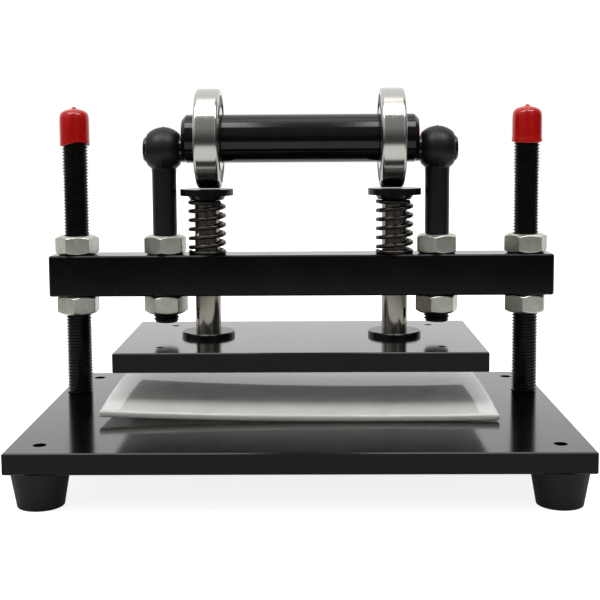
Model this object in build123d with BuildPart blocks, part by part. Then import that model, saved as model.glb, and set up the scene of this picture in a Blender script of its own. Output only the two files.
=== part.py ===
from build123d import *
import os
from math import asin, cos, degrees, pi, radians, sin, sqrt, tan

os.makedirs("parts", exist_ok=True)

# Hand press for embossing leather. Millimetres, +Z up, X across the machine, -Y towards the user.
# The origin lies on the bench, under the middle of the base plate.
# A roller shaft turns on off-centre pins between two eye bolts. Its two ball bearings roll on the
# capped guide posts and push them down through the crossbar, against their springs.

# Running and seating clearances, each on the radius
running_clearance = 0.05
thread_clearance = 0.03
seat_clearance = 0.02
roller_gap = 0.3

# Base plate
base_width = 306.0
base_depth = 200.0
base_thickness = 11.6
plate_edge_break = 0.6

# Rubber feet, each held by a screw from below into a tapped corner hole
foot_height = 20.4
foot_top_radius = 16.0
foot_bottom_radius = 12.4
foot_rim_radius = 0.4
foot_inset_x = 16.0
foot_inset_y = 16.0
foot_web = 12.0
foot_recess_radius = 8.6
foot_washer_radius = 8.0
foot_washer_thickness = 1.5
foot_screw_radius = 3.6
foot_screw_head_radius = 6.5
foot_screw_head_height = 4.6
foot_screw_grip = 8.0

# Hexagon sockets in the screw heads
screw_socket = 5.0
screw_socket_depth = 3.0

# Threaded columns, drawn plain over the crests of their thread
column_radius = 8.0
column_spacing = 283.0
column_back = 43.0
column_height = 178.0
column_tail = 10.0
column_end_chamfer = 1.5

# Vinyl caps on the columns
cap_wall = 1.1
cap_skirt = 20.4
cap_roof = 1.5
cap_shoulder_radius = 3.0
cap_nub_radius = 1.6
cap_nub_height = 1.3

# Hexagon nuts
nut_across_flats = 24.0
nut_height = 12.0
nut_face_radius = 10.8
lock_nut_height = 8.0
nut_chamfer_angle = 30.0

# Crossbar
bar_length = 314.4
bar_depth = 25.0
bar_height = 25.6
bar_daylight = 62.7
bar_column_clearance = 0.5
bar_edge_break = 0.8

# Eye bolts that stand through the crossbar
eye_spacing = 171.4
eye_ball_radius = 14.0
eye_width = 20.5
eye_edge_radius = 0.8
eye_shank_radius = 7.6
eye_thread_radius = 8.0
eye_hole_clearance = 0.3
eye_stub = 5.9
eye_height = 65.7

# Roller shaft with off-centre end pins
shaft_radius = 15.0
shaft_length = 147.0
shaft_chamfer = 2.5
shaft_throw = 6.5
pin_radius = 8.0
pin_overhang = 2.0
pin_end_chamfer = 1.2
lever_hole_radius = 5.1
lever_hole_depth = 22.0
lever_hole_mouth = 1.0

# Ball bearings on the shaft
bearing_spacing = 114.0
bearing_radius = 31.0
bearing_width = 15.0
bearing_outer_land_radius = 26.4
bearing_inner_land_radius = 19.6
bearing_chamfer = 1.0
outer_ring_rounding = 2.0
ball_radius = 4.76
ball_count = 9
ball_gap = 0.3
cage_thickness = 2.6
cage_width = 11.0
shield_thickness = 0.8
shield_recess = 0.8
shield_lip = 0.9
shield_gap = 0.4

# Guide posts with their caps, foot flanges and bushes
post_radius = 8.0
post_spacing = 118.0
post_cap_roof = 2.5
post_flange_radius = 16.7
post_cap_flange = 4.1
post_hub_height = 2.8
post_hub_radius = 12.0
post_hub_tip_radius = 10.5
post_foot_flange = 3.0
post_screw_hole_depth = 18.0
bush_wall = 2.4

# Springs round the posts, between the crossbar and the post caps
spring_radius = 12.0
spring_wire_radius = 1.3
spring_closed_turns = 0.5
spring_rising_turns = 5.5

# Press plate
press_width = 220.0
press_depth = 115.0
press_thickness = 11.8
press_forward = 3.0
press_daylight = 24.3
press_hole_radius = 2.4
press_hole_spacing_x = 168.6
press_hole_spacing_y = 79.0
press_screw_radius = 3.6
press_screw_head_radius = 7.8
press_screw_head_sink = 0.2
press_screw_length = 26.0

# Loose cutting pad on the base, arched between its front and back edges and curled along its length
pad_width = 227.5
pad_depth = 134.6
pad_thickness = 3.9
pad_corner_radius = 2.5
pad_front = 36.6
pad_shift = -0.8
pad_arch_rise = 2.8
pad_arch_crest = 40.0
pad_curl_middle = 47.0
pad_curl_radius = 4030.0

# Turn of each hexagon nut about its own axis, in degrees, as the press was set up
column_nut_turns = {"left_upper": 12.0, "left_lower": 29.5, "right_upper": 4.5, "right_lower": 15.0}
eye_nut_turns = {"left_upper": 24.0, "left_lower": 9.5, "right_upper": 21.0, "right_lower": 11.0}

# Heights above the bench, worked out from the sizes above
base_bottom = foot_height
base_top = base_bottom + base_thickness
bar_bottom = base_top + bar_daylight
bar_top = bar_bottom + bar_height
pin_axis = bar_top + eye_height
shaft_axis = pin_axis + shaft_throw
post_cap_top = shaft_axis - bearing_radius - roller_gap
post_hub_tip = post_cap_top - post_cap_flange - post_hub_height
post_top = post_cap_top - post_cap_roof
press_bottom = base_top + press_daylight
press_top = press_bottom + press_thickness

foot_x = base_width / 2 - foot_inset_x
foot_y = base_depth / 2 - foot_inset_y
column_x = column_spacing / 2
eye_x = eye_spacing / 2
post_x = post_spacing / 2
bearing_x = bearing_spacing / 2
press_back = column_back - press_forward

foot_corners = [(x, y) for x in (-foot_x, foot_x) for y in (-foot_y, foot_y)]
foot_names = ["front_left", "back_left", "front_right", "back_right"]
sides = {"left": -1, "right": 1}


def save(piece, name):
    """Label a finished piece and write it under its own name."""
    piece.part.label = name
    export_step(piece.part, f"parts/{name}.step")


def upright(x, y, z=0):
    """A section plane through an upright axis: local X is across, local Y is up."""
    return Plane((x, y, z), x_dir=(1, 0, 0), z_dir=(0, -1, 0))


def plate_edges(piece, size):
    """Break the long outer edges of a plate's two faces."""
    faces = piece.faces().sort_by(Axis.Z)
    outline = faces[-1].outer_wire().edges() + faces[0].outer_wire().edges()
    chamfer(outline, length=size)


# Base plate: corner holes tapped for the foot screws, and a tapped hole for each column
with BuildPart() as base_plate:
    with BuildSketch(Plane.XY.offset(base_bottom)):
        Rectangle(base_width, base_depth)
    extrude(amount=base_thickness)
    plate_edges(base_plate, plate_edge_break)
    with Locations(Plane.XY.offset(base_top)):
        with Locations(*foot_corners):
            Hole(foot_screw_radius + thread_clearance)
        with Locations((-column_x, column_back), (column_x, column_back)):
            Hole(column_radius + thread_clearance)
save(base_plate, "base_plate")

# Rubber feet: tapered, with a recess below that hides the washer and the screw head
foot_recess_depth = foot_height - foot_web
foot_bore_radius = foot_screw_radius + running_clearance
for name, (x, y) in zip(foot_names, foot_corners):
    with BuildPart() as foot:
        with BuildSketch(upright(x, y)):
            with BuildLine():
                Polyline(
                    (foot_bore_radius, foot_recess_depth),
                    (foot_recess_radius, foot_recess_depth),
                    (foot_recess_radius, 0),
                    (foot_bottom_radius, 0),
                    (foot_top_radius, foot_height),
                    (foot_bore_radius, foot_height),
                    close=True,
                )
            make_face()
        revolve(axis=Axis((x, y, 0), (0, 0, 1)))
        tread = foot.edges().filter_by(GeomType.CIRCLE).group_by(Axis.Z)[0]
        fillet(tread.sort_by(SortBy.RADIUS)[-1], radius=foot_rim_radius)
    save(foot, f"foot_{name}")

# Steel washers inside the feet
washer_bottom = foot_recess_depth - foot_washer_thickness
with BuildPart() as foot_washers:
    with BuildSketch(Plane.XY.offset(washer_bottom)):
        with Locations(*foot_corners):
            Circle(foot_washer_radius)
            Circle(foot_screw_radius + running_clearance, mode=Mode.SUBTRACT)
    extrude(amount=foot_washer_thickness)
save(foot_washers, "foot_washers")

# Foot screws: pan heads under the washers, shanks up into the base plate
with BuildPart() as foot_screws:
    with BuildSketch(Plane.XY.offset(washer_bottom - foot_screw_head_height)):
        with Locations(*foot_corners):
            Circle(foot_screw_head_radius)
    extrude(amount=foot_screw_head_height)
    with BuildSketch(Plane.XY.offset(washer_bottom)):
        with Locations(*foot_corners):
            Circle(foot_screw_radius)
    extrude(amount=base_bottom + foot_screw_grip - washer_bottom)
    with BuildSketch(Plane.XY.offset(washer_bottom - foot_screw_head_height)):
        with Locations(*foot_corners):
            RegularPolygon(radius=screw_socket / 2, side_count=6, major_radius=False)
    extrude(amount=screw_socket_depth, mode=Mode.SUBTRACT)
save(foot_screws, "foot_screws")


def make_nut(x, bottom, height, turn):
    """A hexagon nut with both ends chamfered to a round face, standing on the column line."""
    corner_radius = nut_across_flats / sqrt(3)
    drop = (corner_radius - nut_face_radius) * tan(radians(nut_chamfer_angle))
    with BuildPart() as nut:
        with BuildSketch(Plane((x, column_back, bottom))):
            RegularPolygon(radius=corner_radius, side_count=6, rotation=turn)
        extrude(amount=height)
        with BuildSketch(upright(x, column_back, bottom)):
            with BuildLine():
                Polyline(
                    (0, 0),
                    (nut_face_radius, 0),
                    (corner_radius, drop),
                    (corner_radius, height - drop),
                    (nut_face_radius, height),
                    (0, height),
                    close=True,
                )
            make_face()
        revolve(axis=Axis((x, column_back, 0), (0, 0, 1)), mode=Mode.INTERSECT)
        with Locations(Plane((x, column_back, bottom + height))):
            Hole(column_radius + thread_clearance)
    return nut


# Threaded columns, screwed through the base plate and locked by a thin nut below it
for side, sign in sides.items():
    with BuildPart() as column:
        with BuildSketch(Plane((sign * column_x, column_back, base_bottom - column_tail))):
            Circle(column_radius)
        extrude(amount=column_tail + base_thickness + column_height)
        chamfer(column.edges().filter_by(GeomType.CIRCLE), length=column_end_chamfer)
    save(column, f"column_{side}")

    lock_nut = make_nut(sign * column_x, base_bottom - lock_nut_height, lock_nut_height, 0)
    save(lock_nut, f"base_lock_nut_{side}")

# Vinyl caps: dipped skirts over the column ends, with a rounded shoulder and a small nub
column_top = base_top + column_height
cap_inner = column_radius + running_clearance
cap_outer = cap_inner + cap_wall
cap_crown = column_top + cap_roof
for side, sign in sides.items():
    axis_x = sign * column_x
    with BuildPart() as cap:
        with BuildSketch(upright(axis_x, column_back)):
            with BuildLine():
                Polyline(
                    (0, column_top),
                    (cap_inner, column_top),
                    (cap_inner, column_top - cap_skirt),
                    (cap_outer, column_top - cap_skirt),
                    (cap_outer, cap_crown - cap_shoulder_radius),
                )
                RadiusArc(
                    (cap_outer, cap_crown - cap_shoulder_radius),
                    (cap_outer - cap_shoulder_radius, cap_crown),
                    -cap_shoulder_radius,
                )
                Polyline(
                    (cap_outer - cap_shoulder_radius, cap_crown),
                    (cap_nub_radius, cap_crown),
                    (cap_nub_radius / 2, cap_crown + cap_nub_height),
                    (0, cap_crown + cap_nub_height),
                    (0, column_top),
                )
            make_face()
        revolve(axis=Axis((axis_x, column_back, 0), (0, 0, 1)))
    save(cap, f"vinyl_cap_{side}")

# Cutting pad: a flexible sheet that stands on its front and back edges. Its arched section is turned
# about a far axis above it, so that the sheet touches the base only near the middle of the curl
pad_left_turn = asin((pad_curl_middle - pad_shift + pad_width / 2) / pad_curl_radius)
pad_right_turn = asin((pad_shift + pad_width / 2 - pad_curl_middle) / pad_curl_radius)
pad_left_end = Plane(
    (
        pad_curl_middle - pad_curl_radius * sin(pad_left_turn),
        0,
        base_top + pad_curl_radius * (1 - cos(pad_left_turn)),
    ),
    x_dir=(0, 1, 0),
    z_dir=(cos(pad_left_turn), 0, -sin(pad_left_turn)),
)
pad_back = pad_depth - pad_front
pad_top_rise = pad_arch_rise + pad_thickness
with BuildPart() as cutting_pad:
    with BuildSketch(pad_left_end):
        with BuildLine():
            TangentArc((pad_arch_crest, pad_arch_rise), (-pad_front, 0), tangent=(-1, 0))
            Line((-pad_front, 0), (-pad_front, pad_thickness))
            TangentArc((pad_arch_crest, pad_top_rise), (-pad_front, pad_thickness), tangent=(-1, 0))
            TangentArc((pad_arch_crest, pad_top_rise), (pad_back, pad_thickness), tangent=(1, 0))
            Line((pad_back, pad_thickness), (pad_back, 0))
            TangentArc((pad_arch_crest, pad_arch_rise), (pad_back, 0), tangent=(1, 0))
        make_face()
    revolve(
        axis=Axis((pad_curl_middle, 0, base_top + pad_curl_radius), (0, -1, 0)),
        revolution_arc=degrees(pad_left_turn + pad_right_turn),
    )
    fillet(cutting_pad.edges().filter_by(GeomType.LINE), radius=pad_corner_radius)
save(cutting_pad, "cutting_pad")

# Crossbar: clearance holes on the columns, holes for the eye bolts and seats for the bushes
bush_outer_radius = post_radius + running_clearance + bush_wall
with BuildPart() as crossbar:
    with BuildSketch(Plane((0, column_back, bar_bottom))):
        Rectangle(bar_length, bar_depth)
    extrude(amount=bar_height)
    chamfer(crossbar.edges(), length=bar_edge_break)
    with Locations(Plane((0, column_back, bar_top))):
        with Locations((-column_x, 0), (column_x, 0)):
            Hole(column_radius + bar_column_clearance)
        with Locations((-eye_x, 0), (eye_x, 0)):
            Hole(eye_thread_radius + eye_hole_clearance)
        with Locations((-post_x, 0), (post_x, 0)):
            Hole(bush_outer_radius + seat_clearance)
save(crossbar, "crossbar")

# Nuts above and below the crossbar on the columns, which set its height
for place, turn in column_nut_turns.items():
    side, level = place.split("_")
    bottom = bar_top if level == "upper" else bar_bottom - nut_height
    column_nut = make_nut(sides[side] * column_x, bottom, nut_height, turn)
    save(column_nut, f"column_nut_{place}")

# Nuts above and below the crossbar on the eye bolts
for place, turn in eye_nut_turns.items():
    side, level = place.split("_")
    bottom = bar_top if level == "upper" else bar_bottom - nut_height
    eye_nut = make_nut(sides[side] * eye_x, bottom, nut_height, turn)
    save(eye_nut, f"eye_nut_{place}")

# Eye bolts: a forged ball with two flat sides and a cross bore, on a shank with a threaded end
eye_thread_bottom = bar_bottom - nut_height - eye_stub
eye_thread_top = bar_top + nut_height
for side, sign in sides.items():
    axis_x = sign * eye_x
    with BuildPart() as eye_bolt:
        with Locations((axis_x, column_back, pin_axis)):
            Sphere(eye_ball_radius)
            Box(eye_width, 2 * eye_ball_radius, 2 * eye_ball_radius, mode=Mode.INTERSECT)
        fillet(eye_bolt.edges().filter_by(GeomType.CIRCLE), radius=eye_edge_radius)
        with BuildSketch(Plane((axis_x, column_back, eye_thread_bottom))):
            Circle(eye_thread_radius)
        extrude(amount=eye_thread_top - eye_thread_bottom)
        with BuildSketch(Plane((axis_x, column_back, eye_thread_top))):
            Circle(eye_shank_radius)
        extrude(amount=pin_axis - eye_thread_top)
        tip = eye_bolt.edges().filter_by(GeomType.CIRCLE).group_by(Axis.Z)[0]
        chamfer(tip, length=column_end_chamfer)
        with Locations(Plane((axis_x, column_back, pin_axis), x_dir=(0, 1, 0), z_dir=(1, 0, 0))):
            Hole(pin_radius + running_clearance)
    save(eye_bolt, f"eye_bolt_{side}")

# Roller shaft: a thick middle above two off-centre pins, with a tapped hole for a lever behind
pin_end = eye_x + eye_width / 2 + pin_overhang
lever_plane = Plane((0, column_back + shaft_radius, shaft_axis), x_dir=(1, 0, 0), z_dir=(0, 1, 0))
with BuildPart() as roller_shaft:
    with BuildSketch(Plane((-shaft_length / 2, column_back, shaft_axis), z_dir=(1, 0, 0))):
        Circle(shaft_radius)
    extrude(amount=shaft_length)
    chamfer(roller_shaft.edges().filter_by(GeomType.CIRCLE), length=shaft_chamfer)
    with BuildSketch(Plane((-pin_end, column_back, pin_axis), z_dir=(1, 0, 0))):
        Circle(pin_radius)
    extrude(amount=2 * pin_end)
    pin_rims = roller_shaft.edges().filter_by(GeomType.CIRCLE).sort_by(Axis.X)
    chamfer([pin_rims[0], pin_rims[-1]], length=pin_end_chamfer)
    with Locations(lever_plane):
        Hole(lever_hole_radius, depth=lever_hole_depth)
        Cone(
            lever_hole_radius - lever_hole_mouth,
            lever_hole_radius + 2 * lever_hole_mouth,
            3 * lever_hole_mouth,
            mode=Mode.SUBTRACT,
        )
save(roller_shaft, "roller_shaft")

# Ball bearings: an inner ring on the shaft, an outer ring that rolls, balls, cage and shields
ball_path_radius = (bearing_outer_land_radius + bearing_inner_land_radius) / 2
race_radius = ball_radius + ball_gap
inner_bore_radius = shaft_radius + seat_clearance
shield_seat_radius = bearing_outer_land_radius + shield_lip
half_width = bearing_width / 2
shield_face = half_width - shield_recess
shield_back = shield_face - shield_thickness
shaft_line = Axis((0, column_back, shaft_axis), (1, 0, 0))
for side, sign in sides.items():
    middle = sign * bearing_x
    section = upright(middle, column_back, shaft_axis)
    across = Plane((middle, column_back, shaft_axis), x_dir=(0, 1, 0), z_dir=(1, 0, 0))

    with BuildPart() as outer_ring:
        with BuildSketch(section):
            with BuildLine():
                Polyline(
                    (-half_width, shield_seat_radius),
                    (-shield_back, shield_seat_radius),
                    (-shield_back, bearing_outer_land_radius),
                    (shield_back, bearing_outer_land_radius),
                    (shield_back, shield_seat_radius),
                    (half_width, shield_seat_radius),
                    (half_width, bearing_radius),
                    (-half_width, bearing_radius),
                    close=True,
                )
            rolling_face = make_face()
            fillet(rolling_face.vertices().group_by(Axis.Y)[-1], radius=outer_ring_rounding)
            with Locations((0, ball_path_radius)):
                Circle(race_radius, mode=Mode.SUBTRACT)
        revolve(axis=shaft_line)
    save(outer_ring, f"bearing_outer_ring_{side}")

    with BuildPart() as inner_ring:
        with BuildSketch(section):
            with BuildLine():
                Polyline(
                    (-half_width, bearing_inner_land_radius),
                    (half_width, bearing_inner_land_radius),
                    (half_width, inner_bore_radius + bearing_chamfer),
                    (half_width - bearing_chamfer, inner_bore_radius),
                    (bearing_chamfer - half_width, inner_bore_radius),
                    (-half_width, inner_bore_radius + bearing_chamfer),
                    close=True,
                )
            make_face()
            with Locations((0, ball_path_radius)):
                Circle(race_radius, mode=Mode.SUBTRACT)
        revolve(axis=shaft_line)
    save(inner_ring, f"bearing_inner_ring_{side}")

    with BuildPart() as balls:
        with Locations(across):
            with PolarLocations(ball_path_radius, ball_count):
                Sphere(ball_radius)
    save(balls, f"bearing_balls_{side}")

    with BuildPart() as cage:
        with BuildSketch(section):
            with Locations((0, ball_path_radius)):
                Rectangle(cage_width, cage_thickness)
        revolve(axis=shaft_line)
        with Locations(across):
            with PolarLocations(ball_path_radius, ball_count):
                Cylinder(race_radius, cage_width, rotation=(0, 90, 0), mode=Mode.SUBTRACT)
    save(cage, f"bearing_cage_{side}")

    with BuildPart() as shields:
        with BuildSketch(section):
            for face in (-shield_face, shield_back):
                with Locations((face, bearing_inner_land_radius + shield_gap)):
                    Rectangle(
                        shield_thickness,
                        shield_seat_radius - seat_clearance - bearing_inner_land_radius - shield_gap,
                        align=(Align.MIN, Align.MIN),
                    )
        revolve(axis=shaft_line)
    save(shields, f"bearing_shields_{side}")

# Bushes in the crossbar, bored for the guide posts
for side, sign in sides.items():
    with BuildPart() as bush:
        with BuildSketch(Plane((sign * post_x, column_back, bar_bottom))):
            Circle(bush_outer_radius)
            Circle(post_radius + running_clearance, mode=Mode.SUBTRACT)
        extrude(amount=bar_height)
    save(bush, f"guide_bush_{side}")

# Guide posts, each with a tapped hole in its foot
for side, sign in sides.items():
    with BuildPart() as post:
        with BuildSketch(Plane((sign * post_x, column_back, press_top))):
            Circle(post_radius)
        extrude(amount=post_top - press_top)
        chamfer(post.edges().filter_by(GeomType.CIRCLE), length=plate_edge_break)
        with Locations(Plane((sign * post_x, column_back, press_top), z_dir=(0, 0, -1))):
            Hole(press_screw_radius + thread_clearance, depth=post_screw_hole_depth)
    save(post, f"guide_post_{side}")

# Post caps: the roller presses on the flange, and the hub below it holds the spring down
for side, sign in sides.items():
    axis_x = sign * post_x
    with BuildPart() as post_cap:
        with BuildSketch(upright(axis_x, column_back)):
            with BuildLine():
                Polyline(
                    (0, post_top),
                    (post_radius + seat_clearance, post_top),
                    (post_radius + seat_clearance, post_hub_tip),
                    (post_hub_tip_radius, post_hub_tip),
                    (post_hub_radius, post_hub_tip + post_hub_height),
                    (post_flange_radius, post_hub_tip + post_hub_height),
                    (post_flange_radius, post_cap_top),
                    (0, post_cap_top),
                    close=True,
                )
            make_face()
        revolve(axis=Axis((axis_x, column_back, 0), (0, 0, 1)))
    save(post_cap, f"post_cap_{side}")

# Flanges that brace the posts on the press plate
for side, sign in sides.items():
    with BuildPart() as post_flange:
        with BuildSketch(Plane((sign * post_x, column_back, press_top))):
            Circle(post_flange_radius)
            Circle(post_radius + seat_clearance, mode=Mode.SUBTRACT)
        extrude(amount=post_foot_flange)
        rim = post_flange.faces().sort_by(Axis.Z)[-1].outer_wire().edges()
        chamfer(rim, length=plate_edge_break)
    save(post_flange, f"post_flange_{side}")

# Springs: one wire each, with a closed half turn on the bar and another under the post cap
spring_path_radius = spring_radius - spring_wire_radius
spring_first = bar_top + seat_clearance + spring_wire_radius
spring_last = post_hub_tip - roller_gap - spring_wire_radius
spring_turns = spring_rising_turns + 2 * spring_closed_turns


def spring_level(turn):
    """Height of the wire's middle after a number of turns, level over the closed ends."""
    risen = min(max(turn - spring_closed_turns, 0), spring_rising_turns)
    return spring_first + (spring_last - spring_first) * risen / spring_rising_turns


def spring_point(axis_x, turn):
    """A point of the wire's middle. The wire starts at the left and winds up right-handed."""
    angle = pi + 2 * pi * turn
    return Vector(
        axis_x + spring_path_radius * cos(angle),
        column_back + spring_path_radius * sin(angle),
        spring_level(turn),
    )


def spring_direction(turn):
    """The wire's direction, with its climb taken over an eighth of a turn each way."""
    before = max(turn - 0.125, 0)
    after = min(turn + 0.125, spring_turns)
    climb = (spring_level(after) - spring_level(before)) / (after - before)
    angle = pi + 2 * pi * turn
    around = 2 * pi * spring_path_radius
    return Vector(-around * sin(angle), around * cos(angle), climb).normalized()


def biarc_middle(start, stop, leaving, arriving):
    """Where two arcs meet that leave start and reach stop in the given directions, and which way."""
    chord = stop - start
    both = leaving + arriving
    square = 2 * leaving.dot(arriving) - 2
    linear = -2 * chord.dot(both)
    reach = (-linear - sqrt(linear**2 - 4 * square * chord.dot(chord))) / (2 * square)
    first_corner = start + leaving * reach
    second_corner = stop - arriving * reach
    return (first_corner + second_corner) * 0.5, (second_corner - first_corner).normalized()


def least_gap(path, apart):
    """Least clear distance between wire turns, from points along the path."""
    points = [edge.position_at(share) for edge in path.edges() for share in (0, 0.25, 0.5, 0.75)]
    pairs = ((one, other) for i, one in enumerate(points) for other in points[i + apart:])
    return min((one - other).length for one, other in pairs) - 2 * spring_wire_radius


spring_quarters = round(4 * spring_turns)
points_per_quarter = 8
for side, sign in sides.items():
    axis_x = sign * post_x
    with BuildPart() as spring:
        with BuildLine() as wire_path:
            for quarter in range(spring_quarters):
                start = spring_point(axis_x, quarter / 4)
                stop = spring_point(axis_x, (quarter + 1) / 4)
                leaving = spring_direction(quarter / 4)
                arriving = spring_direction((quarter + 1) / 4)
                middle, passing = biarc_middle(start, stop, leaving, arriving)
                TangentArc(start, middle, tangent=leaving)
                TangentArc(middle, stop, tangent=passing)
        with BuildSketch(Plane(spring_point(axis_x, 0), z_dir=spring_direction(0))):
            Circle(spring_wire_radius)
        sweep()
    print(f"spring_{side}: least gap {least_gap(wire_path, 2 * points_per_quarter):.2f} mm")
    save(spring, f"spring_{side}")

# Press plate: four holes for tooling, and countersunk holes for the screws of the posts
press_sink_radius = press_screw_head_radius + press_screw_head_sink + running_clearance
with BuildPart() as press_plate:
    with BuildSketch(Plane((0, press_back, press_bottom))):
        Rectangle(press_width, press_depth)
        with GridLocations(press_hole_spacing_x, press_hole_spacing_y, 2, 2):
            Circle(press_hole_radius, mode=Mode.SUBTRACT)
    extrude(amount=press_thickness)
    plate_edges(press_plate, plate_edge_break)
    with Locations(Plane((0, column_back, press_bottom), x_dir=(1, 0, 0), z_dir=(0, 0, -1))):
        with Locations((-post_x, 0), (post_x, 0)):
            CounterSinkHole(press_screw_radius + running_clearance, press_sink_radius)
save(press_plate, "press_plate")

# Countersunk screws that hold the posts on the press plate
screw_face = press_bottom + press_screw_head_sink
with BuildPart() as press_screws:
    for sign in sides.values():
        axis_x = sign * post_x
        with BuildSketch(upright(axis_x, column_back)):
            with BuildLine():
                Polyline(
                    (0, screw_face),
                    (press_screw_head_radius, screw_face),
                    (press_screw_radius, screw_face + press_screw_head_radius - press_screw_radius),
                    (press_screw_radius, screw_face + press_screw_length),
                    (0, screw_face + press_screw_length),
                    close=True,
                )
            make_face()
        revolve(axis=Axis((axis_x, column_back, 0), (0, 0, 1)))
    with BuildSketch(Plane.XY.offset(screw_face)):
        with Locations((-post_x, column_back), (post_x, column_back)):
            RegularPolygon(radius=screw_socket / 2, side_count=6, major_radius=False)
    extrude(amount=screw_socket_depth, mode=Mode.SUBTRACT)
save(press_screws, "press_screws")
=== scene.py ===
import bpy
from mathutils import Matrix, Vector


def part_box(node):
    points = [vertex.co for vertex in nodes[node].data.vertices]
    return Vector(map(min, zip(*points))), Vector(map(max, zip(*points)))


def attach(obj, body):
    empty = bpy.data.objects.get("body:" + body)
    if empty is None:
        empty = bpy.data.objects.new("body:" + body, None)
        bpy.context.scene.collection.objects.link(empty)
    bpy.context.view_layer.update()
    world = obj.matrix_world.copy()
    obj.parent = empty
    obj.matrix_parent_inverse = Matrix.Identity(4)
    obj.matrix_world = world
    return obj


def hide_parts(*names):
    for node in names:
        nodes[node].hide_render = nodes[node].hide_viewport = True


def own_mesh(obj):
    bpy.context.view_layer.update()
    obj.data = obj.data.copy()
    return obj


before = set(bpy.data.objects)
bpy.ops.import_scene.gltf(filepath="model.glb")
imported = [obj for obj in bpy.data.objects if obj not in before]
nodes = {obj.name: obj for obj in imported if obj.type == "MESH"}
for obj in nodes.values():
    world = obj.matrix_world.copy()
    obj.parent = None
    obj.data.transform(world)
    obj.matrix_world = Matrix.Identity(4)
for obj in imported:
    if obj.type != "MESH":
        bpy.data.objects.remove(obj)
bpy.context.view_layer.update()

# %% [markdown]
# A press for embossing leather by hand. A thick shaft with two ball bearings turns on off-centre
# pins, so the bearings roll on the capped guide posts and push them down through the crossbar
# against two springs. The press plate hangs on the posts above a loose pad on the base plate.
#
# The fixed frame already holds every piece in its place, in metres. This lesson keeps the pieces
# whose shape is right, gives each one its finish, and makes again the ones whose looks need more:
# the threads, the forged eye bolts, the nuts, the springs, the dipped caps, the pad and the dust
# shields of the bearings.

# %% Import what the lesson needs
from math import cos, pi, radians, sin, tan

import bmesh
import bpy
from mathutils import Matrix, Vector

scene = bpy.context.scene
mm = 0.001

# %% [markdown]
# The camera stands where the photographer's did: in front, almost on the middle line of the
# press, as high as the shaft, and dipping five degrees. Its place could be found by eye, but
# here it comes from matching the frame's edges to the picture, so it is given as plain numbers.

# %% Set up the camera
picture_size = 600
focal_pixels = 1112.264
middle_row = 246.987
camera_place = Vector((7.536, -656.177, 191.034)) * mm
turn, dip, roll = radians(-0.664), radians(5.462), radians(-0.336)

ahead = Vector((cos(dip) * sin(turn), cos(dip) * cos(turn), -sin(dip)))
right = Vector((cos(turn), -sin(turn), 0))
upward = Vector((sin(dip) * sin(turn), sin(dip) * cos(turn), cos(dip)))
across = cos(roll) * right + sin(roll) * upward
over = cos(roll) * upward - sin(roll) * right

camera = bpy.data.objects.new("camera", bpy.data.cameras.new("camera"))
scene.collection.objects.link(camera)
scene.camera = camera
turned = Matrix((across, over, -ahead)).transposed().to_4x4()
camera.matrix_world = Matrix.Translation(camera_place) @ turned
camera.data.sensor_width = 36
camera.data.lens = focal_pixels / picture_size * camera.data.sensor_width
camera.data.shift_y = (middle_row - picture_size / 2) / picture_size
camera.data.clip_start = 0.01
print(f"lens {camera.data.lens:.2f} mm, shift {camera.data.shift_y:.4f}")

# %% [markdown]
# Two helpers serve every finish. Colours are picked on a screen, so they are written as the
# usual six-letter codes, and Blender mixes light in linear numbers, so one function turns the
# first into the second. The other function adds a node, sets it and connects it in one call.

# %% Write the colour and node helpers
def linear(code):
    """Turn a screen colour such as #808080 into the linear numbers that Blender mixes."""
    shares = [int(code[place:place + 2], 16) / 255 for place in (1, 3, 5)]
    return [s / 12.92 if s <= 0.04045 else ((s + 0.055) / 1.055) ** 2.4 for s in shares] + [1]


def add_node(tree, kind, feeds=None, **settings):
    """Add one node with its settings, and feed its inputs with values or other sockets."""
    node = tree.nodes.new(kind)
    for name, value in settings.items():
        setattr(node, name, value)
    for socket, value in (feeds or {}).items():
        if isinstance(value, bpy.types.NodeSocket):
            tree.links.new(value, node.inputs[socket])
        else:
            node.inputs[socket].default_value = value
    return node


# %% [markdown]
# The press stands on a white bench in front of a white wall, with long soft boxes overhead. The
# room is not evenly bright: the left side is lit, the right side is dark, and so is the middle of
# the front, where the photographer stands. Each face of the nuts mirrors another part of it. A
# sky picture could give such a room, but one ramp of grey round the horizon is enough. What the
# camera sees past the bench is plain white, and so is what glass would show of it.

# %% Paint the room around the press
world = bpy.data.worlds.new("studio_room")
scene.world = world
world.use_nodes = True
room = world.node_tree
room.nodes.clear()


def ramp(tree, value, start, stop, low, high):
    """A soft step: low up to the start, high from the stop on, whatever value is fed in."""
    return add_node(tree, "ShaderNodeMapRange", {
        "Value": value, "From Min": start, "From Max": stop, "To Min": low, "To Max": high},
        interpolation_type="SMOOTHSTEP").outputs["Result"]


# Brightness of the walls by degrees from the middle of the white wall, to the right positive.
photographer_level = 0.3
wall_levels = {-160: 0.3, -140: 0.7, -114: 0.8, -76: 0.8, -50: 1.0, 50: 1.0, 68: 0.2, 120: 0.15,
               134: 0.25, 142: 0.6, 155: 0.6, 164: 0.3}
direction = add_node(room, "ShaderNodeTexCoord").outputs["Generated"]
parts = add_node(room, "ShaderNodeSeparateXYZ", {"Vector": direction})
bearing = add_node(room, "ShaderNodeMath", {
    0: parts.outputs["X"], 1: parts.outputs["Y"]}, operation="ARCTAN2")
round_share = add_node(room, "ShaderNodeMapRange", {
    "Value": bearing.outputs["Value"], "From Min": -pi, "From Max": pi})
walls = add_node(room, "ShaderNodeValToRGB", {"Fac": round_share.outputs["Result"]})
stops = walls.color_ramp.elements
stops[0].color = stops[1].color = (photographer_level, photographer_level, photographer_level, 1)
for degrees, brightness in wall_levels.items():
    stops.new((degrees + 180) / 360).color = (brightness, brightness, brightness, 1)

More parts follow.
